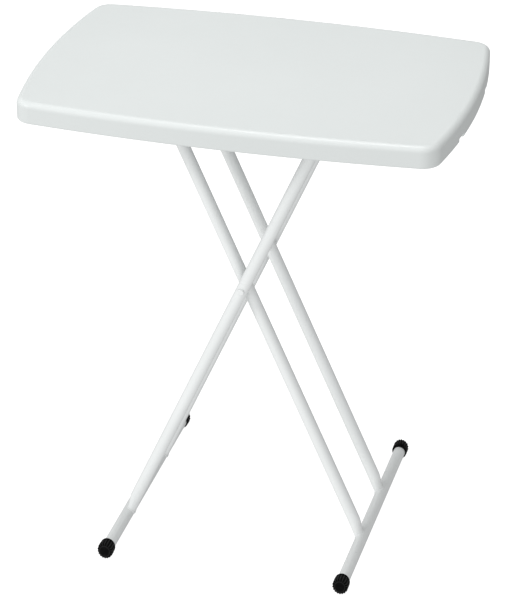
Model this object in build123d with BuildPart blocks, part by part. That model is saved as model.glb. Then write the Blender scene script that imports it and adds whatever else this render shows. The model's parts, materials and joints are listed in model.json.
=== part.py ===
from build123d import *
from math import asin, cos, hypot, radians, sin, sqrt, tan
import os

# Folding table: a hollow moulded top on two crossed tube frames.
# Origin: on the floor, under the middle of the top. +X along the top, -Y to the front, +Z up.
# The inner frame has its feet at +X and the outer frame at -X. All sizes are in millimetres.

# ---- driving dimensions: top ----
TABLE_HEIGHT = 756.0
TOP_LENGTH = 660.0
TOP_WIDTH = 433.5
TOP_DEPTH = 33.5
LONG_SIDE_BOW = 18.4
SHORT_SIDE_BOW = 23.1
CORNER_RADIUS = 28.0
TOP_EDGE_RADIUS = 9.2
BOTTOM_EDGE_RADIUS = 3.0
SKIN = 3.0
RIM_WIDTH = 18.0
RECESS_DEPTH = 12.5

# ---- driving dimensions: frames ----
LEG_ANGLE = 66.04
LOWER_LEG = 462.9
TUBE_RADIUS = 9.5
TUBE_WALL = 1.2
INNER_LEG_Y = 68.2
LEG_GAP = 2.3
LEG_TAIL = 12.0
CROSSBAR_RADIUS = 8.0
CROSSBAR_OFFSET = 16.5
CAP_HALF_WIDTH = 12.5
CAP_BELOW_AXIS = 13.0
CAP_ABOVE_AXIS = 15.8
CAP_LENGTH = 18.2
CAP_OVERHANG = 6.2
FOOT_BAR_HALF = 210.5

# ---- driving dimensions: slide rails, sliders and rivets ----
RAIL_Y = 40.0
RAIL_LENGTH = 616.0
RAIL_WIDTH = 26.0
RAIL_HEIGHT = 17.0
RAIL_WALL = 3.0
SLOT_WIDTH = 10.0
EYE_RADIUS = 12.5
SLIDE_CLEARANCE = 0.3
BORE_CLEARANCE = 0.08
RIVET_RADIUS = 4.0
RIVET_CLEARANCE = 0.05
LOWER_SETTINGS = (70.0, 140.0)
SCREW_X = (-280.0, -140.0, 0.0, 140.0, 280.0)

# ---- derived dimensions ----
RIM_BOTTOM = TABLE_HEIGHT - TOP_DEPTH
UNDERSIDE = RIM_BOTTOM + RECESS_DEPTH
RAIL_BOTTOM = UNDERSIDE - RAIL_HEIGHT
CROSSBAR_HEIGHT = RAIL_BOTTOM - SLIDE_CLEARANCE - EYE_RADIUS
ANGLE = radians(LEG_ANGLE)
CAP_HALF_HEIGHT = (CAP_BELOW_AXIS + CAP_ABOVE_AXIS) / 2
FOOT_AXIS_HEIGHT = CAP_BELOW_AXIS
FOOT_X = LOWER_LEG * cos(ANGLE)
PIVOT_HEIGHT = FOOT_AXIS_HEIGHT + LOWER_LEG * sin(ANGLE)
CROSSBAR_X = (CROSSBAR_HEIGHT - PIVOT_HEIGHT) / tan(ANGLE) - CROSSBAR_OFFSET / sin(ANGLE)
CROSSBAR_REACH = hypot(CROSSBAR_X, CROSSBAR_HEIGHT - PIVOT_HEIGHT)
UPPER_LEG = sqrt(CROSSBAR_REACH**2 - CROSSBAR_OFFSET**2)
OUTER_LEG_Y = INNER_LEG_Y + 2 * TUBE_RADIUS + LEG_GAP

# ---- small features ----
PIT_GRID = (75.0, 85.0)
PIT_COUNT = (7, 5)
PIT_MOUTH = 9.0
PIT_END = 5.5
NOTCH_Y = OUTER_LEG_Y
NOTCH_WIDTH = 24.0
NOTCH_HEIGHT = 7.0
VENT_POSITION = (112.5, 0.0)
VENT_RADIUS = 4.0
VENT_HEAD_RADIUS = 6.5
VENT_HEAD_HEIGHT = 1.5
VENT_PLUG_REACH = 5.0
SCREW_RADIUS = 2.0
SCREW_HEAD_RADIUS = 4.0
SCREW_HEAD_DEPTH = 2.3
SCREW_REACH = 11.0
CROSS_LENGTH = 5.0
CROSS_WIDTH = 1.0
BOSS_RADIUS = 6.0
REST_RADIUS = EYE_RADIUS + 0.5
REST_DEPTH = 1.5
STOP_INSERT = 4.0
STOP_FLANGE = 1.5
HEAD_LENGTH = 16.0
NECK_LENGTH = 12.0
EYE_WIDTH = 22.0
EYE_EDGE_RADIUS = 1.2
LEG_START = 2.0
PLUG_INSERT = 7.0
PLUG_HEAD = 2.5
PLUG_EDGE_RADIUS = 1.5
FLANGE_WIDTH = 3.6
FLANGE_STEP = 0.4
FLANGE_CHAMFER = 0.8
DRUM_START = 3.2
DRUM_CHAMFER = 1.0
DRUM_LENGTH = 17.2
DRUM_ROUNDING = 2.0
DISC_SHARE = 0.70
DISC_ROUNDING = 0.8
FLUTES = 18
FLUTE_RADIUS = 1.3
FLUTE_SETBACK = 0.4
RIVET_HEAD_RADIUS = 5.6
RIVET_HEAD_HEIGHT = 2.2
RIVET_EDGE_RADIUS = 2.0
CLENCH_RADIUS = 5.6
CLENCH_HEIGHT = 1.6
SADDLE = 2.6
ACROSS_LEG = 4 * TUBE_RADIUS

UP_FROM_BASE = (Align.CENTER, Align.CENTER, Align.MIN)
ENDS = {"left": -1, "right": 1}
SIDES = {"front": -1, "back": 1}
FRAMES = {"inner": (1, INNER_LEG_Y), "outer": (-1, OUTER_LEG_Y)}

os.makedirs("parts", exist_ok=True)


def write(part, label):
    """Label a finished piece and write its STEP file."""
    part.label = label
    export_step(part, f"parts/{label}.step")


def bow_radius(half_chord, bow):
    """Radius of the arc that stands out by bow over a chord of twice half_chord."""
    return (half_chord**2 + bow**2) / (2 * bow)


def top_outline(inset=0.0):
    """Barrel-shaped outline of the top: four bowed sides and rounded corners."""
    long_radius = bow_radius(TOP_LENGTH / 2, LONG_SIDE_BOW)
    short_radius = bow_radius(TOP_WIDTH / 2, SHORT_SIDE_BOW)
    long_centre = long_radius - TOP_WIDTH / 2
    short_centre = short_radius - TOP_LENGTH / 2
    with BuildSketch() as outline:
        with Locations((0, long_centre)):
            Circle(long_radius - inset)
        with Locations((0, -long_centre)):
            Circle(long_radius - inset, mode=Mode.INTERSECT)
        with Locations((short_centre, 0)):
            Circle(short_radius - inset, mode=Mode.INTERSECT)
        with Locations((-short_centre, 0)):
            Circle(short_radius - inset, mode=Mode.INTERSECT)
        fillet(outline.vertices(), CORNER_RADIUS - inset)
    return outline.sketch


def crossbar_x(drop):
    """Distance of a crossbar from the middle when the top is lowered by drop."""
    reach = hypot(LOWER_LEG + UPPER_LEG, CROSSBAR_OFFSET)
    height = CROSSBAR_HEIGHT - FOOT_AXIS_HEIGHT - drop
    leg_angle = asin(height / reach) - asin(CROSSBAR_OFFSET / reach)
    return UPPER_LEG * cos(leg_angle) - CROSSBAR_OFFSET * sin(leg_angle)


def screw_places():
    """Every rail screw's place on the underside of the top."""
    return [(x, side * RAIL_Y, UNDERSIDE) for side in SIDES.values() for x in SCREW_X]


# ---- moulded top: one hollow shell with a rim, a recessed underside and kiss-off pits ----
with BuildPart() as cavity:
    with BuildSketch(Plane.XY.offset(RIM_BOTTOM + SKIN)):
        add(top_outline(SKIN))
    extrude(amount=TOP_DEPTH - 2 * SKIN)
    fillet(cavity.edges().group_by(Axis.Z)[-1], TOP_EDGE_RADIUS - SKIN)
    with BuildSketch(Plane.XY.offset(RIM_BOTTOM)):
        add(top_outline(RIM_WIDTH - SKIN))
    extrude(amount=RECESS_DEPTH + SKIN, mode=Mode.SUBTRACT)
    with Locations((0, 0, UNDERSIDE)):
        with GridLocations(*PIT_GRID, *PIT_COUNT):
            Cone(PIT_MOUTH + SKIN, PIT_END + SKIN, TOP_DEPTH, align=UP_FROM_BASE, mode=Mode.SUBTRACT)
    with Locations(screw_places()):
        Cylinder(BOSS_RADIUS, TOP_DEPTH, align=UP_FROM_BASE, mode=Mode.SUBTRACT)
    with Locations((0, 0, RIM_BOTTOM)):
        with GridLocations(TOP_LENGTH - RIM_WIDTH, 2 * NOTCH_Y, 2, 2):
            Box(
                3 * RIM_WIDTH,
                NOTCH_WIDTH + 2 * SKIN,
                NOTCH_HEIGHT + SKIN,
                align=UP_FROM_BASE,
                mode=Mode.SUBTRACT,
            )

with BuildPart() as tabletop:
    with BuildSketch(Plane.XY.offset(RIM_BOTTOM)):
        add(top_outline())
    extrude(amount=TOP_DEPTH)
    fillet(tabletop.edges().group_by(Axis.Z)[-1], TOP_EDGE_RADIUS)
    fillet(tabletop.edges().group_by(Axis.Z)[0], BOTTOM_EDGE_RADIUS)
    with BuildSketch(Plane.XY.offset(RIM_BOTTOM)):
        add(top_outline(RIM_WIDTH))
    extrude(amount=RECESS_DEPTH, mode=Mode.SUBTRACT)
    add(cavity.part, mode=Mode.SUBTRACT)
    with Locations((0, 0, UNDERSIDE)):
        with GridLocations(*PIT_GRID, *PIT_COUNT):
            Cone(
                PIT_MOUTH,
                PIT_END,
                TABLE_HEIGHT - UNDERSIDE - 2 * SKIN,
                align=UP_FROM_BASE,
                mode=Mode.SUBTRACT,
            )
    with Locations(screw_places()):
        Cylinder(SCREW_RADIUS, SCREW_REACH, align=UP_FROM_BASE, mode=Mode.SUBTRACT)
    with Locations((0, 0, RIM_BOTTOM)):
        with GridLocations(TOP_LENGTH - RIM_WIDTH, 2 * NOTCH_Y, 2, 2):
            Box(2 * RIM_WIDTH + SKIN, NOTCH_WIDTH, 2 * NOTCH_HEIGHT, mode=Mode.SUBTRACT)
    with Locations((*VENT_POSITION, UNDERSIDE)):
        Cylinder(VENT_RADIUS, SKIN, align=UP_FROM_BASE, mode=Mode.SUBTRACT)
write(tabletop.part, "tabletop_shell")

# ---- snap plug in the moulding vent ----
with BuildPart() as vent_plug:
    with BuildSketch(Plane.XY.offset(UNDERSIDE - VENT_HEAD_HEIGHT)):
        with Locations(VENT_POSITION):
            Circle(VENT_HEAD_RADIUS)
    extrude(amount=VENT_HEAD_HEIGHT)
    fillet(vent_plug.edges().group_by(Axis.Z)[0], 2 * VENT_HEAD_HEIGHT / 3)
    with BuildSketch(Plane.XY.offset(UNDERSIDE)):
        with Locations(VENT_POSITION):
            Circle(VENT_RADIUS)
    extrude(amount=VENT_PLUG_REACH)
write(vent_plug.part, "vent_plug")


# ---- slide rails: C-channels under the top, slot downwards, with three shallow rests at each end ----
def rail_plane(side, x):
    """Plane across a rail at x, with its origin on the underside of the top."""
    return Plane(origin=(x, side * RAIL_Y, UNDERSIDE), x_dir=(0, 1, 0), z_dir=(1, 0, 0))


rest_offsets = [crossbar_x(drop) for drop in (0.0, *LOWER_SETTINGS)]

for side_name, side in SIDES.items():
    with BuildPart() as rail:
        with BuildSketch(rail_plane(side, -RAIL_LENGTH / 2)):
            Rectangle(RAIL_WIDTH, RAIL_HEIGHT, align=(Align.CENTER, Align.MAX))
            with Locations((0, -RAIL_WALL)):
                Rectangle(
                    RAIL_WIDTH - 2 * RAIL_WALL,
                    RAIL_HEIGHT - 2 * RAIL_WALL,
                    align=(Align.CENTER, Align.MAX),
                    mode=Mode.SUBTRACT,
                )
                Rectangle(SLOT_WIDTH, RAIL_HEIGHT, align=(Align.CENTER, Align.MAX), mode=Mode.SUBTRACT)
        extrude(amount=RAIL_LENGTH)
        for end in ENDS.values():
            for offset_x in rest_offsets:
                with Locations((end * offset_x, side * RAIL_Y, RAIL_BOTTOM - REST_RADIUS + REST_DEPTH)):
                    Cylinder(REST_RADIUS, RAIL_WIDTH, rotation=(90, 0, 0), mode=Mode.SUBTRACT)
        for x in SCREW_X:
            with Locations((x, side * RAIL_Y, UNDERSIDE - RAIL_WALL)):
                Cone(
                    SCREW_HEAD_RADIUS,
                    SCREW_RADIUS,
                    SCREW_HEAD_DEPTH,
                    align=UP_FROM_BASE,
                    mode=Mode.SUBTRACT,
                )
                Cylinder(SCREW_RADIUS, RAIL_WALL, align=UP_FROM_BASE, mode=Mode.SUBTRACT)
    write(rail.part, f"rail_{side_name}")

# ---- end stops: T-shaped plugs that close the rails ----
for side_name, side in SIDES.items():
    for end_name, end in ENDS.items():
        with BuildPart() as stop:
            insert_plane = rail_plane(side, end * (RAIL_LENGTH / 2 - STOP_INSERT / 2))
            with BuildSketch(insert_plane):
                with Locations((0, -RAIL_WALL)):
                    Rectangle(
                        RAIL_WIDTH - 2 * RAIL_WALL,
                        RAIL_HEIGHT - 2 * RAIL_WALL,
                        align=(Align.CENTER, Align.MAX),
                    )
                    Rectangle(SLOT_WIDTH, RAIL_HEIGHT - RAIL_WALL, align=(Align.CENTER, Align.MAX))
            extrude(amount=STOP_INSERT / 2, both=True)
            with BuildSketch(rail_plane(side, end * (RAIL_LENGTH / 2 + STOP_FLANGE / 2))):
                Rectangle(RAIL_WIDTH, RAIL_HEIGHT, align=(Align.CENTER, Align.MAX))
            extrude(amount=STOP_FLANGE / 2, both=True)
        write(stop.part, f"rail_stop_{side_name}_{end_name}")

# ---- countersunk screws that hold the rails ----
with BuildPart() as rail_screws:
    for x, y, z in screw_places():
        with Locations((x, y, z - RAIL_WALL)):
            Cone(SCREW_HEAD_RADIUS, SCREW_RADIUS, SCREW_HEAD_DEPTH, align=UP_FROM_BASE)
            Cylinder(SCREW_RADIUS, RAIL_WALL + SCREW_REACH - 1, align=UP_FROM_BASE)
            Box(CROSS_WIDTH, CROSS_LENGTH, CROSS_WIDTH, align=UP_FROM_BASE, mode=Mode.SUBTRACT)
            Box(CROSS_LENGTH, CROSS_WIDTH, CROSS_WIDTH, align=UP_FROM_BASE, mode=Mode.SUBTRACT)
write(rail_screws.part, "rail_screws")

# ---- sliders: an eye round the crossbar, a neck through the slot and a T-head inside the rail ----
for frame_name, (foot_end, _) in FRAMES.items():
    bar_x = -foot_end * CROSSBAR_X
    for side_name, side in SIDES.items():
        with BuildPart() as slider:
            eye_centre = (bar_x, side * RAIL_Y, CROSSBAR_HEIGHT)
            with BuildSketch(Plane(origin=eye_centre, x_dir=(1, 0, 0), z_dir=(0, -1, 0))):
                Circle(EYE_RADIUS)
            extrude(amount=EYE_WIDTH / 2, both=True)
            fillet(slider.edges().filter_by(GeomType.CIRCLE), EYE_EDGE_RADIUS)
            with Locations(eye_centre):
                Box(
                    NECK_LENGTH,
                    SLOT_WIDTH - 2 * SLIDE_CLEARANCE,
                    UNDERSIDE - RAIL_WALL - SLIDE_CLEARANCE - CROSSBAR_HEIGHT,
                    align=UP_FROM_BASE,
                )
            with Locations((bar_x, side * RAIL_Y, RAIL_BOTTOM + RAIL_WALL + SLIDE_CLEARANCE)):
                Box(
                    HEAD_LENGTH,
                    RAIL_WIDTH - 2 * RAIL_WALL - 2 * SLIDE_CLEARANCE,
                    RAIL_HEIGHT - 2 * RAIL_WALL - 2 * SLIDE_CLEARANCE,
                    align=UP_FROM_BASE,
                )
            with Locations(eye_centre):
                Cylinder(
                    CROSSBAR_RADIUS + BORE_CLEARANCE,
                    EYE_WIDTH,
                    rotation=(90, 0, 0),
                    mode=Mode.SUBTRACT,
                )
        write(slider.part, f"{frame_name}_slider_{side_name}")


# ---- leg frames ----
def leg_plane(foot_end, y, distance):
    """Plane across a leg, distance up its centre line from the foot bar's axis."""
    lean = (-foot_end * cos(ANGLE), 0, sin(ANGLE))
    origin = (foot_end * FOOT_X + distance * lean[0], y, FOOT_AXIS_HEIGHT + distance * lean[2])
    return Plane(origin=origin, x_dir=(0, 1, 0), z_dir=lean)


LEG_END = LOWER_LEG + UPPER_LEG + LEG_TAIL
for frame_name, (foot_end, leg_y) in FRAMES.items():
    rivet_play = RIVET_CLEARANCE if frame_name == "inner" else 0.0
    for side_name, side in SIDES.items():
        y = side * leg_y
        with BuildPart() as leg:
            with BuildSketch(leg_plane(foot_end, y, LEG_START)):
                Circle(TUBE_RADIUS)
                Circle(TUBE_RADIUS - TUBE_WALL, mode=Mode.SUBTRACT)
            extrude(amount=LEG_END - LEG_START)
            with Locations((foot_end * FOOT_X, y, FOOT_AXIS_HEIGHT)):
                Cylinder(TUBE_RADIUS, ACROSS_LEG, rotation=(90, 0, 0), mode=Mode.SUBTRACT)
            with Locations((-foot_end * CROSSBAR_X, y, CROSSBAR_HEIGHT)):
                Cylinder(CROSSBAR_RADIUS, ACROSS_LEG, rotation=(90, 0, 0), mode=Mode.SUBTRACT)
            with Locations((0, y, PIVOT_HEIGHT)):
                Cylinder(RIVET_RADIUS + rivet_play, ACROSS_LEG, rotation=(90, 0, 0), mode=Mode.SUBTRACT)
        write(leg.part, f"{frame_name}_leg_{side_name}")

        with BuildPart() as leg_plug:
            with BuildSketch(leg_plane(foot_end, y, LEG_END - PLUG_INSERT)):
                Circle(TUBE_RADIUS - TUBE_WALL)
            extrude(amount=PLUG_INSERT)
            with BuildSketch(leg_plane(foot_end, y, LEG_END)):
                Circle(TUBE_RADIUS)
            extrude(amount=PLUG_HEAD)
            end_face = leg_plug.faces().sort_by(Axis((0, 0, 0), leg_plane(foot_end, y, 0).z_dir))[-1]
            fillet(end_face.edges(), PLUG_EDGE_RADIUS)
            with Locations((-foot_end * CROSSBAR_X, y, CROSSBAR_HEIGHT)):
                Cylinder(CROSSBAR_RADIUS, ACROSS_LEG, rotation=(90, 0, 0), mode=Mode.SUBTRACT)
        write(leg_plug.part, f"{frame_name}_leg_plug_{side_name}")

        bar_end = side * (leg_y + TUBE_RADIUS)
        bar_centre = (-foot_end * CROSSBAR_X, bar_end, CROSSBAR_HEIGHT)
        with BuildPart() as bar_plug:
            with BuildSketch(Plane(origin=bar_centre, x_dir=(1, 0, 0), z_dir=(0, side, 0))):
                Circle(CROSSBAR_RADIUS)
            extrude(amount=PLUG_HEAD)
            fillet(bar_plug.edges().sort_by(Axis.Y)[-1 if side > 0 else 0], PLUG_EDGE_RADIUS)
            with BuildSketch(Plane(origin=bar_centre, x_dir=(1, 0, 0), z_dir=(0, -side, 0))):
                Circle(CROSSBAR_RADIUS - TUBE_WALL)
            extrude(amount=PLUG_INSERT)
        write(bar_plug.part, f"{frame_name}_crossbar_plug_{side_name}")

    with BuildPart() as crossbar:
        with Locations((-foot_end * CROSSBAR_X, 0, CROSSBAR_HEIGHT)):
            Cylinder(CROSSBAR_RADIUS, 2 * (leg_y + TUBE_RADIUS), rotation=(90, 0, 0))
            Cylinder(
                CROSSBAR_RADIUS - TUBE_WALL,
                2 * (leg_y + TUBE_RADIUS),
                rotation=(90, 0, 0),
                mode=Mode.SUBTRACT,
            )
    write(crossbar.part, f"{frame_name}_crossbar")

    with BuildPart() as foot_bar:
        with Locations((foot_end * FOOT_X, 0, FOOT_AXIS_HEIGHT)):
            Cylinder(TUBE_RADIUS, 2 * FOOT_BAR_HALF, rotation=(90, 0, 0))
            Cylinder(
                TUBE_RADIUS - TUBE_WALL,
                2 * FOOT_BAR_HALF,
                rotation=(90, 0, 0),
                mode=Mode.SUBTRACT,
            )
    write(foot_bar.part, f"{frame_name}_foot_bar")

# ---- foot caps: oval moulded sleeves with a smooth flange, a fluted drum and a rounded end disc ----
CAP_INNER = FOOT_BAR_HALF + CAP_OVERHANG - CAP_LENGTH


def cap_layer(plane, half_width, half_height, start, stop):
    """Oval slab of a foot cap between two distances from its open end."""
    with BuildPart() as layer:
        with BuildSketch(plane.offset(start)):
            Ellipse(half_width, half_height)
        extrude(amount=stop - start)
    return layer.part


for frame_name, (foot_end, _) in FRAMES.items():
    for side_name, side in SIDES.items():
        cap_centre = (foot_end * FOOT_X, side * CAP_INNER, CAP_HALF_HEIGHT)
        outwards = Axis(cap_centre, (0, side, 0))
        open_end = Plane(origin=cap_centre, x_dir=(1, 0, 0), z_dir=(0, side, 0))
        flange = cap_layer(
            open_end,
            CAP_HALF_WIDTH - FLANGE_STEP,
            CAP_HALF_HEIGHT - FLANGE_STEP,
            0,
            FLANGE_WIDTH,
        )
        drum = cap_layer(open_end, CAP_HALF_WIDTH, CAP_HALF_HEIGHT, DRUM_START, DRUM_LENGTH)
        disc = cap_layer(
            open_end,
            DISC_SHARE * CAP_HALF_WIDTH,
            DISC_SHARE * CAP_HALF_HEIGHT,
            DRUM_START,
            CAP_LENGTH,
        )
        with BuildPart() as cap:
            add(drum)
            fillet(cap.faces().sort_by(outwards)[-1].edges(), DRUM_ROUNDING)
            chamfer(cap.faces().sort_by(outwards)[0].edges(), DRUM_CHAMFER)
            with Locations(open_end):
                flute_length = CAP_LENGTH - FLANGE_WIDTH
                for i in range(FLUTES):
                    turn = radians((i + 0.5) * 360 / FLUTES)
                    flute_x = (CAP_HALF_WIDTH + FLUTE_SETBACK) * sin(turn)
                    flute_z = (CAP_HALF_HEIGHT + FLUTE_SETBACK) * cos(turn)
                    with Locations((flute_x, flute_z, FLANGE_WIDTH)):
                        Cylinder(
                            FLUTE_RADIUS,
                            flute_length,
                            align=UP_FROM_BASE,
                            mode=Mode.SUBTRACT,
                        )
            with BuildPart(mode=Mode.ADD) as smooth_flange:
                add(flange)
                chamfer(smooth_flange.faces().sort_by(outwards)[0].edges(), FLANGE_CHAMFER)
                chamfer(smooth_flange.faces().sort_by(outwards)[-1].edges(), FLANGE_CHAMFER)
            with BuildPart(mode=Mode.ADD) as end_disc:
                add(disc)
                fillet(end_disc.faces().sort_by(outwards)[-1].edges(), DISC_ROUNDING)
            with Locations((foot_end * FOOT_X, 0, FOOT_AXIS_HEIGHT)):
                Cylinder(TUBE_RADIUS, 2 * FOOT_BAR_HALF, rotation=(90, 0, 0), mode=Mode.SUBTRACT)
        write(cap.part, f"{frame_name}_foot_cap_{side_name}")

# ---- pivot rivets through both legs, and the spacer washers between them ----
outer_face = OUTER_LEG_Y + TUBE_RADIUS
rivet_length = outer_face - INNER_LEG_Y + TUBE_RADIUS + SLIDE_CLEARANCE
for side_name, side in SIDES.items():
    outward = Plane(origin=(0, side * outer_face, PIVOT_HEIGHT), x_dir=(1, 0, 0), z_dir=(0, side, 0))
    with BuildPart() as rivet:
        with BuildSketch(outward.offset(-SADDLE)):
            Circle(RIVET_HEAD_RADIUS)
        extrude(amount=SADDLE + RIVET_HEAD_HEIGHT)
        fillet(rivet.edges().sort_by(Axis.Y)[-1 if side > 0 else 0], RIVET_EDGE_RADIUS)
        with Locations(leg_plane(-1, side * OUTER_LEG_Y, LOWER_LEG)):
            Cylinder(TUBE_RADIUS, ACROSS_LEG, mode=Mode.SUBTRACT)
        with BuildSketch(outward.offset(-rivet_length)):
            Circle(RIVET_RADIUS)
        extrude(amount=rivet_length)
        with BuildSketch(outward.offset(-rivet_length)):
            Circle(CLENCH_RADIUS)
        extrude(amount=-CLENCH_HEIGHT)
    write(rivet.part, f"pivot_rivet_{side_name}")

    with BuildPart() as washer:
        with BuildSketch(outward.offset(-2 * TUBE_RADIUS)):
            Circle(2 * RIVET_RADIUS)
            Circle(RIVET_RADIUS, mode=Mode.SUBTRACT)
        extrude(amount=SLIDE_CLEARANCE - LEG_GAP)
    write(washer.part, f"pivot_washer_{side_name}")
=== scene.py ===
import json
from math import cos, pi, sin, sqrt

import bmesh
import bpy
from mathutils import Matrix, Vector


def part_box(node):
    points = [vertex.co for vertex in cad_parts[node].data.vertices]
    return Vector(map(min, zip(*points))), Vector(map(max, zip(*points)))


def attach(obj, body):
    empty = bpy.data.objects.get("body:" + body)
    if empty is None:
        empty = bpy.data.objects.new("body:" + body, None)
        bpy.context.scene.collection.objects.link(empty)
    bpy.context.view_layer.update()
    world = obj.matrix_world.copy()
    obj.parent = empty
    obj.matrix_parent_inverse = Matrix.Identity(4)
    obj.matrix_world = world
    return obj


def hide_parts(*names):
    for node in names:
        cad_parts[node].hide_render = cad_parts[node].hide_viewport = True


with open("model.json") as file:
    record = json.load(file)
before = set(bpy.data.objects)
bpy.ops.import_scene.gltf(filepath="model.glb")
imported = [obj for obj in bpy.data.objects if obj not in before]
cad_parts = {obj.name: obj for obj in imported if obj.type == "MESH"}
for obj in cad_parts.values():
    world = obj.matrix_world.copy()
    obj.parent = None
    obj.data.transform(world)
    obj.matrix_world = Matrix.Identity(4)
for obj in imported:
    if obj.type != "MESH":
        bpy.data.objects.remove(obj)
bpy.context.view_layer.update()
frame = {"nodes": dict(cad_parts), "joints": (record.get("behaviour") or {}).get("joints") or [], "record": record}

# Folding table. Metres, +X along the top, -Y to the front, +Z up,
# origin on the floor under the middle of the top.

SIDES = {"front": -1, "back": 1}
FRAMES = {"inner": 1, "outer": -1}
ACROSS = Vector((0, 1, 0))


# ---------------------------------------------------------------- places read from the frame
def centre_of(node):
    """Middle of a CAD node's box."""
    low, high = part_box(node)
    return (low + high) / 2


def joint_place(name):
    """Where a joint's axis passes, in the row frame."""
    return Vector(next(j["pos_m"] for j in frame["joints"] if j["name"] == name))


PIVOT = joint_place("scissor_pivot")
TUBE_RADIUS = (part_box("inner_foot_bar")[1].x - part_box("inner_foot_bar")[0].x) / 2
CROSSBAR_RADIUS = (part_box("inner_crossbar")[1].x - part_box("inner_crossbar")[0].x) / 2
CAP_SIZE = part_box("inner_foot_cap_front")[1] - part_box("inner_foot_cap_front")[0]
CAP_RADIUS = CAP_SIZE.z / 2
CAP_NARROWING = CAP_SIZE.x / CAP_SIZE.z
CAP_LENGTH = CAP_SIZE.y


# ---------------------------------------------------------------- mesh helpers
def mesh_piece(name, vertices, faces, body, slot):
    """Make a smooth mesh object that rides on a body and takes its slot's material."""
    mesh = bpy.data.meshes.new(name)
    mesh.from_pydata([tuple(v) for v in vertices], [], faces)
    mesh.validate()
    shell = bmesh.new()
    shell.from_mesh(mesh)
    bmesh.ops.recalc_face_normals(shell, faces=shell.faces)
    shell.to_mesh(mesh)
    shell.free()
    mesh.shade_smooth()
    piece = bpy.data.objects.new(name, mesh)
    bpy.context.scene.collection.objects.link(piece)
    mesh.materials.append(MATERIALS[slot])
    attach(piece, body)
    return piece


def ring_faces(rings, segments, closed_ends=False):
    """Quads between neighbouring rings of equal vertex count."""
    faces = []
    for i in range(rings - 1 + int(closed_ends)):
        a, b = i * segments, ((i + 1) % rings) * segments
        for k in range(segments):
            n = (k + 1) % segments
            faces.append((a + k, a + n, b + n, b + k))
    return faces


# ---------------------------------------------------------------- material helpers
class Nodes:
    """Short calls for building one node material."""

    def __init__(self, name):
        self.material = bpy.data.materials.new(name)
        self.material.use_nodes = True
        self.tree = self.material.node_tree
        self.shader = self.tree.nodes["Principled BSDF"]
        self.place = self.add("ShaderNodeTexCoord").outputs["Object"]

    def add(self, kind, **settings):
        """New node with its settings."""
        node = self.tree.nodes.new(kind)
        for key, value in settings.items():
            setattr(node, key, value)
        return node

    def link(self, source, target):
        """Join two sockets."""
        self.tree.links.new(source, target)

    def into(self, socket, value):
        """Drive one of the shader's sockets."""
        self.link(value, self.shader.inputs[socket])

    def mapped(self, scale):
        """Object coordinates stretched by scale."""
        node = self.add("ShaderNodeMapping")
        node.inputs["Scale"].default_value = scale
        self.link(self.place, node.inputs["Vector"])
        return node.outputs["Vector"]

    def noise(self, scale, detail=4.0, roughness=0.5, vector=None):
        """Noise of about 0.3 to 0.7."""
        node = self.add("ShaderNodeTexNoise")
        node.inputs["Scale"].default_value = scale
        node.inputs["Detail"].default_value = detail
        node.inputs["Roughness"].default_value = roughness
        self.link(vector or self.place, node.inputs["Vector"])
        return node.outputs["Fac"]

    def ramp(self, value, low, high, from_low=0.3, from_high=0.7):
        """Map a value onto low..high."""
        node = self.add("ShaderNodeMapRange")
        node.inputs["From Min"].default_value = from_low
        node.inputs["From Max"].default_value = from_high
        node.inputs["To Min"].default_value = low
        node.inputs["To Max"].default_value = high
        self.link(value, node.inputs["Value"])
        return node.outputs["Result"]

    def colours(self, value, stops):
        """Colour ramp with (position, colour) stops."""
        node = self.add("ShaderNodeValToRGB")
        ramp = node.color_ramp
        for index, (position, colour) in enumerate(stops):
            point = ramp.elements[index] if index < 2 else ramp.elements.new(position)
            point.position = position
            point.color = (*colour, 1.0)
        self.link(value, node.inputs["Fac"])
        return node.outputs["Color"]

    def maths(self, operation, a, b):
        """One arithmetic step on sockets or numbers."""
        node = self.add("ShaderNodeMath", operation=operation)
        for socket, value in zip(node.inputs, (a, b)):
            if isinstance(value, (int, float)):
                socket.default_value = value
            else:
                self.link(value, socket)
        return node.outputs["Value"]

    def bump(self, height, strength, distance):
        """Bump the whole surface."""
        node = self.add("ShaderNodeBump")
        node.inputs["Strength"].default_value = strength
        node.inputs["Distance"].default_value = distance
        self.link(height, node.inputs["Height"])
        self.into("Normal", node.outputs["Normal"])

    def set(self, **values):
        """Constant numbers on the shader's own sockets."""
        for key, value in values.items():
            self.shader.inputs[key.replace("_", " ")].default_value = value


# ---------------------------------------------------------------- materials
def moulded_white():
    """Blow-moulded polyethylene: satin, faintly cloudy, with a fine pebble."""
    n = Nodes("moulded_white")
    shaded, clear = (0.622, 0.651, 0.645), (0.642, 0.670, 0.664)
    cloud = n.noise(scale=3.0, detail=3.0)
    fine_grain = n.maths("MULTIPLY", n.noise(scale=900.0, detail=2.0), 0.5)
    pebble = n.maths("ADD", fine_grain, n.noise(scale=220.0, detail=3.0))
    n.into("Base Color", n.colours(cloud, [(0.3, shaded), (0.7, clear)]))
    n.into("Roughness", n.ramp(n.noise(scale=60.0, detail=5.0), low=0.34, high=0.46))
    n.bump(pebble, strength=0.10, distance=0.4e-3)
    n.set(IOR=1.5, Specular_IOR_Level=0.45)
    return n.material


def powder_coat():
    """Gloss white powder coat with a slight orange peel."""
    n = Nodes("powder_coat")
    thin, thick = (0.755, 0.777, 0.775), (0.782, 0.802, 0.800)
    cloud = n.noise(scale=8.0, detail=3.0)
    n.into("Base Color", n.colours(cloud, [(0.3, thin), (0.7, thick)]))
    n.into("Roughness", n.ramp(n.noise(scale=90.0, detail=3.0), low=0.27, high=0.33))
    n.bump(n.noise(scale=380.0, detail=1.0), strength=0.05, distance=0.2e-3)
    n.set(IOR=1.5, Coat_Weight=0.25, Coat_Roughness=0.15)
    return n.material


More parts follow.
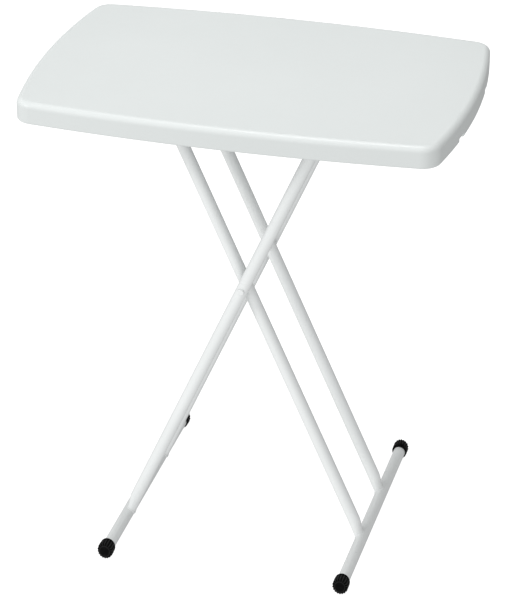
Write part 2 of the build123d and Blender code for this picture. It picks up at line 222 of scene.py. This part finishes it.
def black_plastic():
    """Satin black plastic with random scuffs; the mesh's colour attribute paints highlights on rib crests and the
    disc's edge and paints shade in flute valleys and the groove round the disc.
    """
    n = Nodes("black_plastic")
    # The darkest stop is painted shade for flute valleys and the disc's groove; the lightest stop is a painted
    # highlight for rib crests and the disc's edge.
    groove, plain, painted_rib_highlight = (4.0e-4,) * 3, (0.0016, 0.0016, 0.0017), (0.0230, 0.0230, 0.0235)
    painted_light = n.add("ShaderNodeAttribute", attribute_name="painted_light").outputs["Fac"]
    scuffs = n.ramp(n.noise(scale=160.0, detail=5.0), low=-0.15, high=0.15)
    height = n.maths("ADD", painted_light, scuffs)
    share = n.ramp(height, low=0.0, high=1.0, from_low=-1.0, from_high=1.0)
    n.into("Base Color", n.colours(share, [(0.05, groove), (0.5, plain), (0.95, painted_rib_highlight)]))
    n.into("Roughness", n.ramp(n.noise(scale=500.0, detail=4.0), low=0.20, high=0.28))
    n.bump(n.noise(scale=1500.0, detail=3.0), strength=0.10, distance=0.2e-3)
    n.set(IOR=1.45, Specular_IOR_Level=0.05)
    return n.material


def extruded_aluminium():
    """Satin aluminium with die lines along the rail."""
    n = Nodes("extruded_aluminium")
    dull, bright = (0.60, 0.61, 0.62), (0.70, 0.71, 0.72)
    along_rail = n.mapped((6.0, 900.0, 900.0))
    lines = n.noise(scale=1.0, detail=4.0, roughness=0.6, vector=along_rail)
    n.into("Base Color", n.colours(lines, [(0.3, dull), (0.7, bright)]))
    n.into("Roughness", n.ramp(lines, low=0.30, high=0.44))
    n.bump(lines, strength=0.10, distance=0.3e-3)
    n.set(Metallic=1.0)
    return n.material


def zinc_steel():
    """Bright zinc plating with small crystals."""
    n = Nodes("zinc_steel")
    dark, light = (0.50, 0.51, 0.52), (0.66, 0.67, 0.68)
    crystals = n.add("ShaderNodeTexVoronoi")
    crystals.inputs["Scale"].default_value = 900.0
    n.link(n.place, crystals.inputs["Vector"])
    n.into("Base Color", n.colours(crystals.outputs["Color"], [(0.0, dark), (1.0, light)]))
    n.into("Roughness", n.ramp(n.noise(scale=700.0), low=0.25, high=0.42))
    n.bump(n.noise(scale=1200.0), strength=0.08, distance=0.3e-3)
    n.set(Metallic=1.0)
    return n.material


MATERIALS = {
    "top_plastic": moulded_white(),
    "frame_paint": powder_coat(),
    "black_plastic": black_plastic(),
    "rail_aluminium": extruded_aluminium(),
    "zinc_steel": zinc_steel(),
    "rivet_steel": powder_coat(),
}


def dress_cad_nodes():
    """Give every CAD node its slot's material."""
    slots = {part["node"]: part["material_slot"] for part in frame["record"]["subparts"]}
    for name, node in frame["nodes"].items():
        node.data.materials.clear()
        node.data.materials.append(MATERIALS[slots[name]])


# ---------------------------------------------------------------- foot caps
# Distances run from the open end. Radii are up and down, and the oval is narrower across.
# An outward pair says how much of the surface faces along the cap and how much faces away from it.
UP, OUT = (0.0, 1.0), (1.0, 0.0)
FLUTES = 18
SEGMENTS_PER_FLUTE = 14
FLUTE_DEPTH = 1.2e-3
FLUTE_SHARPNESS = 0.7
BORE_CLEARANCE = 0.05e-3
BORE_EDGE = 0.3e-3
CAP_OVERHANG = 6.2e-3
FLANGE_RADIUS = CAP_RADIUS - 0.4e-3
FLANGE_FACE = 1.0e-3
FLANGE_FRONT_ROUNDING = 0.9e-3
FLANGE_BACK, FLANGE_BACK_ROUNDING = 2.2e-3, 0.6e-3
GROOVE_START, GROOVE_END = 2.9e-3, 3.1e-3
GROOVE_RADIUS = CAP_RADIUS - 1.5e-3
# Shoulder of the drum: distance and inset from its surface.
SHOULDER = ((3.3e-3, 1.0e-3), (3.7e-3, 0.4e-3), (4.4e-3, 0.1e-3))
DRUM_START, DRUM_RINGS = 5.2e-3, 5
DRUM_LENGTH, DRUM_ROUNDING = 17.2e-3, 2.0e-3
DRUM_FACE_INSETS = (3.0e-3, 3.8e-3)
FLUTE_FADE_RINGS = 3
DISC_RADIUS, DISC_ROUNDING = 9.8e-3, 0.6e-3
DISC_EDGE_STOP = 0.06
# Groove round the disc: depth below the drum's face, gap to the disc and outward pair.
DISC_GROOVE = ((0.2e-3, 0.45e-3, OUT), (0.3e-3, 0.15e-3, OUT), (0.2e-3, 0.0, UP))
DOME_RINGS = 8
# Colour values for the cap: painted shade in the groove round the disc, a painted highlight on the disc's rounded
# edge.
GROOVE_PAINTED_SHADE, DISC_EDGE_PAINTED_HIGHLIGHT = -0.8, 0.8


def arc_points(centre, radius, start, stop, steps):
    """(distance, radius, outward pair) along an arc, in turns from the cap's axis."""
    points = []
    for i in range(steps + 1):
        angle = 2 * pi * (start + (stop - start) * i / steps)
        c, s = cos(angle), sin(angle)
        points.append((centre[0] + radius * c, centre[1] + radius * s, (c, s)))
    return points


def cap_bore():
    """Closed end, wall and mouth of the round bore that holds the tube."""
    bore = TUBE_RADIUS + BORE_CLEARANCE
    depth = CAP_LENGTH - CAP_OVERHANG
    return [
        (depth, 0.0, UP),
        (depth, bore * 0.5, UP),
        (depth, bore - BORE_EDGE, UP),
        (depth - BORE_EDGE, bore, UP),
        (BORE_EDGE, bore, UP),
        (0.0, bore + BORE_EDGE, UP),
    ]


def cap_flange():
    """Smooth rounded flange and the groove behind it."""
    front = (FLANGE_FRONT_ROUNDING, FLANGE_RADIUS - FLANGE_FRONT_ROUNDING)
    back = (FLANGE_BACK, FLANGE_RADIUS - FLANGE_BACK_ROUNDING)
    return [
        (0.0, FLANGE_RADIUS - FLANGE_FACE, UP),
        *arc_points(front, FLANGE_FRONT_ROUNDING, start=0.5, stop=0.25, steps=4),
        *arc_points(back, FLANGE_BACK_ROUNDING, start=0.25, stop=0.0, steps=4),
        (GROOVE_START, GROOVE_RADIUS, UP),
        (GROOVE_END, GROOVE_RADIUS, UP),
    ]


def cap_drum():
    """Fluted drum: shoulder, straight part, rounded edge and end face."""
    straight = DRUM_LENGTH - DRUM_ROUNDING
    points = [(length, CAP_RADIUS - inset, UP) for length, inset in SHOULDER]
    for i in range(DRUM_RINGS):
        length = DRUM_START + (straight - DRUM_START) * i / DRUM_RINGS
        points.append((length, CAP_RADIUS, UP))
    edge_centre = (straight, CAP_RADIUS - DRUM_ROUNDING)
    points += arc_points(edge_centre, DRUM_ROUNDING, start=0.25, stop=0.0, steps=8)
    points += [(DRUM_LENGTH, CAP_RADIUS - inset, OUT) for inset in DRUM_FACE_INSETS]
    return points


def cap_dome(start_length, start_radius):
    """Shallow dome that closes the cap."""
    points = []
    for i in range(1, DOME_RINGS + 1):
        share = i / DOME_RINGS
        rise = (CAP_LENGTH - start_length) * (1 - (1 - share) ** 2)
        points.append((start_length + rise, start_radius * (1 - share), OUT))
    return points


def cap_profile():
    """(distance, radius, outward pair, flute share, painted light value, oval share) along the section; the
    painted light value is a highlight where positive and shade where negative.
    """
    groove = [(DRUM_LENGTH - depth, DISC_RADIUS + gap, pair) for depth, gap, pair in DISC_GROOVE]
    edge_centre = (DRUM_LENGTH, DISC_RADIUS - DISC_ROUNDING)
    edge = arc_points(edge_centre, DISC_ROUNDING, start=0.25, stop=DISC_EDGE_STOP, steps=6)
    profile = [(*point, 0.0, 0.0, 0.0) for point in cap_bore()]
    profile += [(*point, 0.0, 0.0, 1.0) for point in cap_flange()]
    for i, point in enumerate(cap_drum()):
        profile.append((*point, min(1.0, (i + 1) / FLUTE_FADE_RINGS), 0.0, 1.0))
    profile += [(*point, 0.0, GROOVE_PAINTED_SHADE, 1.0) for point in groove]
    profile += [(*point, 0.0, DISC_EDGE_PAINTED_HIGHLIGHT, 1.0) for point in edge]
    profile += [(*point, 0.0, 0.0, 1.0) for point in cap_dome(*edge[-1][:2])]
    return profile


def foot_cap(frame_name, side_name):
    """Black oval sleeve on a round tube, with a smooth flange, a fluted drum and a domed disc."""
    node = f"{frame_name}_foot_cap_{side_name}"
    low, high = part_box(node)
    side = SIDES[side_name]
    axis_x, oval_z = (low.x + high.x) / 2, (low.z + high.z) / 2
    bore_z = centre_of(f"{frame_name}_foot_bar").z
    open_end = low.y if side > 0 else high.y
    segments = FLUTES * SEGMENTS_PER_FLUTE
    profile = cap_profile()
    vertices, painted_light_values = [], []
    for length, radius, (along, away), share, painted_light, oval in profile[1:-1]:
        axis_z = bore_z + oval * (oval_z - bore_z)
        narrowing = 1 + oval * (CAP_NARROWING - 1)
        for k in range(segments):
            angle = 2 * pi * k / segments
            valley = share * (0.5 - 0.5 * cos(FLUTES * angle)) ** FLUTE_SHARPNESS
            y = open_end + side * (length - FLUTE_DEPTH * valley * along)
            r = radius - FLUTE_DEPTH * valley * away
            vertices.append((axis_x + r * narrowing * sin(angle), y, axis_z + r * cos(angle)))
            # Painted light for the colour: a highlight on each flute's crest and shade in its valley, on top of
            # the ring's own painted value.
            painted_light_values.append(painted_light + share * (1 - 2 * valley))
    rings = len(profile) - 2
    faces = ring_faces(rings, segments)
    inner_pole, outer_pole = len(vertices), len(vertices) + 1
    vertices.append((axis_x, open_end + side * profile[0][0], bore_z))
    vertices.append((axis_x, open_end + side * profile[-1][0], oval_z))
    painted_light_values += [0.0, 0.0]
    last = (rings - 1) * segments
    for k in range(segments):
        n = (k + 1) % segments
        faces.append((inner_pole, n, k))
        faces.append((last + k, last + n, outer_pole))
    name = f"foot_cap_{frame_name}_{side_name}"
    piece = mesh_piece(name, vertices, faces, f"{frame_name}_frame", "black_plastic")
    # Store the painted highlights and shade as a point attribute for the black plastic's colour.
    piece.data.attributes.new("painted_light", "FLOAT", "POINT").data.foreach_set("value", painted_light_values)
    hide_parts(node)


# ---------------------------------------------------------------- legs with pressed ends
END_SQUEEZE = 0.80
END_SPREAD = 0.45
PRESSED_LENGTH, PRESS_TAPER = 9.0e-3, 26.0e-3
PRESS_RINGS = 20
LEG_SEGMENTS = 56
# Distances along a leg from the middle of its foot bar.
LEG_START = 3.0e-3
LEG_RINGS = (0.1, 0.2, 0.3, 0.4, 0.5, 0.6, 0.7)
# Upper end of a leg: distance below the end and inset from the surface, over the edge to the bore.
LEG_END = ((0.4e-3, 0.0), (0.1e-3, 0.15e-3), (0.0, 0.4e-3), (0.0, 1.2e-3), (9.0e-3, 1.2e-3))


def leg_section(turn, squeeze, radius):
    """Across and outside coordinates of a tube section pressed in from its outer side."""
    widened = 1 + END_SPREAD * (1 - squeeze)
    return radius * widened * cos(turn), -radius + (radius * sin(turn) + radius) * squeeze


def squeeze_at(t):
    """1 where the leg is round, END_SQUEEZE at its foot."""
    share = min(1.0, max(0.0, (t - PRESSED_LENGTH) / PRESS_TAPER))
    return END_SQUEEZE + (1 - END_SQUEEZE) * share * share * (3 - 2 * share)


def leg_tube(node, start, lean, outside, body):
    """Round tube whose foot end is pressed flatter where it is welded to the foot bar."""
    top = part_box(node)[1].z
    length = (top - start.z - TUBE_RADIUS * abs(lean.x)) / lean.z
    pressed = PRESSED_LENGTH + PRESS_TAPER
    stations = [LEG_START + i * pressed / PRESS_RINGS for i in range(PRESS_RINGS + 2)]
    stations += LEG_RINGS
    rings = [(t, squeeze_at(t), TUBE_RADIUS) for t in stations]
    rings += [(length - below, 1.0, TUBE_RADIUS - inset) for below, inset in LEG_END]
    vertices = []
    for t, squeeze, radius in rings:
        for k in range(LEG_SEGMENTS):
            across, v = leg_section(2 * pi * k / LEG_SEGMENTS, squeeze, radius)
            vertices.append(start + ACROSS * across + outside * v + lean * t)
    faces = ring_faces(len(rings), LEG_SEGMENTS)
    faces.append(tuple(range(LEG_SEGMENTS)))
    faces.append(tuple(len(vertices) - LEG_SEGMENTS + k for k in range(LEG_SEGMENTS)))
    piece = mesh_piece(node + "_tube", vertices, faces, body, "frame_paint")
    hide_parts(node)


# ---------------------------------------------------------------- weld beads
WELD_STANDOFF = 0.1e-3
WELD_POINTS = 240
WELD_SIDES = 14
WELD_RIPPLES = 34
RIPPLE_HEIGHT = 0.08
FOOT_WELD_RADIUS = 1.2e-3
CROSSBAR_WELD_RADIUS = 1.3e-3


def weld_bead(name, path, outward, thickness, body):
    """Bead along a closed line of points, a little thicker where the welder paused."""
    count = len(path)
    vertices = []
    for i, point in enumerate(path):
        radius = thickness * (1 + RIPPLE_HEIGHT * sin(WELD_RIPPLES * 2 * pi * i / count))
        along = (path[(i + 1) % count] - path[i - 1]).normalized()
        up = (outward[i] - along * outward[i].dot(along)).normalized()
        across = along.cross(up)
        for k in range(WELD_SIDES):
            angle = 2 * pi * k / WELD_SIDES
            vertices.append(point + radius * (up * sin(angle) + across * cos(angle)))
    faces = ring_faces(count, WELD_SIDES, closed_ends=True)
    mesh_piece(name, vertices, faces, body, "frame_paint")


def foot_weld(name, start, lean, outside, body):
    """Bead round the pressed end of a leg on top of its foot bar."""
    points, outward = [], []
    radius = TUBE_RADIUS + WELD_STANDOFF
    for i in range(WELD_POINTS):
        across, v = leg_section(2 * pi * i / WELD_POINTS, END_SQUEEZE, radius)
        t = sqrt(max(0.0, radius * radius - v * v))
        from_bar = outside * v + lean * t
        from_leg = ACROSS * across + outside * (v + TUBE_RADIUS * (1 - END_SQUEEZE))
        points.append(start + ACROSS * across + from_bar)
        outward.append((from_leg.normalized() + from_bar.normalized()).normalized())
    weld_bead(name, points, outward, FOOT_WELD_RADIUS, body)


def crossbar_weld(name, start, lean, bar_centre, body):
    """Bead round the saddle where a crossbar lies against a leg."""
    normal = ACROSS.cross(lean).normalized()
    to_bar = bar_centre - start
    offset, along_bar = to_bar.dot(normal), to_bar.dot(lean)
    leg_radius, bar_radius = TUBE_RADIUS + WELD_STANDOFF, CROSSBAR_RADIUS + WELD_STANDOFF
    widest = sqrt(max(0.0, 1 - ((abs(offset) - bar_radius) / leg_radius) ** 2))
    facing = 1 if offset > 0 else -1
    points, outward = [], []
    for i in range(WELD_POINTS):
        turn = 2 * pi * i / WELD_POINTS
        across = leg_radius * widest * cos(turn)
        height = sqrt(leg_radius * leg_radius - across * across)
        reach = sqrt(max(0.0, bar_radius * bar_radius - (abs(offset) - height) ** 2))
        from_leg = ACROSS * across + normal * height * facing
        point = start + from_leg + lean * (along_bar + reach * (1 if sin(turn) >= 0 else -1))
        from_bar = point - bar_centre
        from_bar.y = 0
        points.append(point)
        outward.append((from_leg.normalized() + from_bar.normalized()).normalized())
    weld_bead(name, points, outward, CROSSBAR_WELD_RADIUS, body)


def legs_and_welds():
    """Four legs, each with a bead at its foot bar and a bead at its crossbar."""
    for frame_name, foot_end in FRAMES.items():
        foot = centre_of(f"{frame_name}_foot_bar")
        crossbar = centre_of(f"{frame_name}_crossbar")
        lean = (PIVOT - Vector((foot.x, 0, foot.z))).normalized()
        outside = ACROSS.cross(lean).normalized() * foot_end
        body = f"{frame_name}_frame"
        for side_name in SIDES:
            node = f"{frame_name}_leg_{side_name}"
            y = centre_of(node).y
            start = Vector((foot.x, y, foot.z))
            leg_tube(node, start, lean, outside, body)
            foot_weld(f"weld_foot_{frame_name}_{side_name}", start, lean, outside, body)
            bar_centre = Vector((crossbar.x, y, crossbar.z))
            crossbar_weld(f"weld_crossbar_{frame_name}_{side_name}", start, lean, bar_centre, body)


# ---------------------------------------------------------------- stage, lights and camera
FLOOR_SIZE = 60.0
FLOOR_GLOW = 0.95
# Studio dome: radiance grows steadily towards the bright quarter at the front and to its left.
DOME_LEVEL = 0.75
DOME_SLOPE = (-0.15, -0.40, -0.02)
# Lamp name: place, aim, diameter and power.
LAMPS = {
    "key": ((-3.0, -2.4, 2.6), (0.0, 0.0, 0.4), 1.0, 33.0),
    "overhead": ((-0.1, -0.1, 2.6), (0.0, 0.0, 0.7), 1.0, 16.5),
}
CAMERA_PLACE = (0.9842, -3.6248, 2.3646)
CAMERA_AIM = (-0.0063, 0.0, 0.3715)
CAMERA_LENS, CAMERA_SENSOR = 165.2, 36.0


def make_floor():
    """Pale floor that glows evenly and doesn't light or reflect in the table."""
    bpy.ops.mesh.primitive_plane_add(size=FLOOR_SIZE)
    floor = bpy.context.object
    floor.name = "floor"
    n = Nodes("pale_floor")
    cloud = n.noise(scale=0.6, detail=2.0)
    n.into("Base Color", n.colours(cloud, [(0.3, (0.30,) * 3), (0.7, (0.31,) * 3)]))
    n.set(Roughness=0.9, Specular_IOR_Level=0.0)
    n.set(Emission_Color=(1, 1, 1, 1), Emission_Strength=FLOOR_GLOW)
    floor.data.materials.append(n.material)
    floor.visible_diffuse = False
    floor.visible_glossy = False


def aim_from(place, aim):
    """Rotation that points an object's -Z from its place to its aim."""
    return (Vector(aim) - Vector(place)).to_track_quat("-Z", "Y").to_euler()


def make_lamps():
    """Round soft lamps."""
    for name, (place, aim, size, power) in LAMPS.items():
        light = bpy.data.lights.new(name, "AREA")
        light.shape = "DISK"
        light.size = size
        light.energy = power
        lamp = bpy.data.objects.new(name, light)
        bpy.context.scene.collection.objects.link(lamp)
        lamp.location = place
        lamp.rotation_euler = aim_from(place, aim)


def make_dome():
    """World whose radiance is DOME_LEVEL plus the dot product of direction and DOME_SLOPE."""
    world = bpy.data.worlds.new("studio")
    bpy.context.scene.world = world
    world.use_nodes = True
    tree = world.node_tree
    place = tree.nodes.new("ShaderNodeTexCoord")
    lean = tree.nodes.new("ShaderNodeVectorMath")
    lean.operation = "DOT_PRODUCT"
    lean.inputs[1].default_value = DOME_SLOPE
    level = tree.nodes.new("ShaderNodeMath")
    level.inputs[1].default_value = DOME_LEVEL
    background = tree.nodes["Background"]
    background.inputs["Color"].default_value = (1.0, 1.0, 1.0, 1.0)
    tree.links.new(place.outputs["Generated"], lean.inputs[0])
    tree.links.new(lean.outputs["Value"], level.inputs[0])
    tree.links.new(level.outputs["Value"], background.inputs["Strength"])


def make_camera():
    """Camera at the photograph's viewing angle."""
    data = bpy.data.cameras.new("camera")
    data.lens = CAMERA_LENS
    data.sensor_width = CAMERA_SENSOR
    camera = bpy.data.objects.new("camera", data)
    bpy.context.scene.collection.objects.link(camera)
    camera.location = CAMERA_PLACE
    camera.rotation_euler = aim_from(CAMERA_PLACE, CAMERA_AIM)
    bpy.context.scene.camera = camera


# ---------------------------------------------------------------- build
bpy.context.scene.view_settings.view_transform = "Standard"
make_camera()
make_dome()
make_lamps()
make_floor()
dress_cad_nodes()
for frame_name in FRAMES:
    for side_name in SIDES:
        foot_cap(frame_name, side_name)
legs_and_welds()
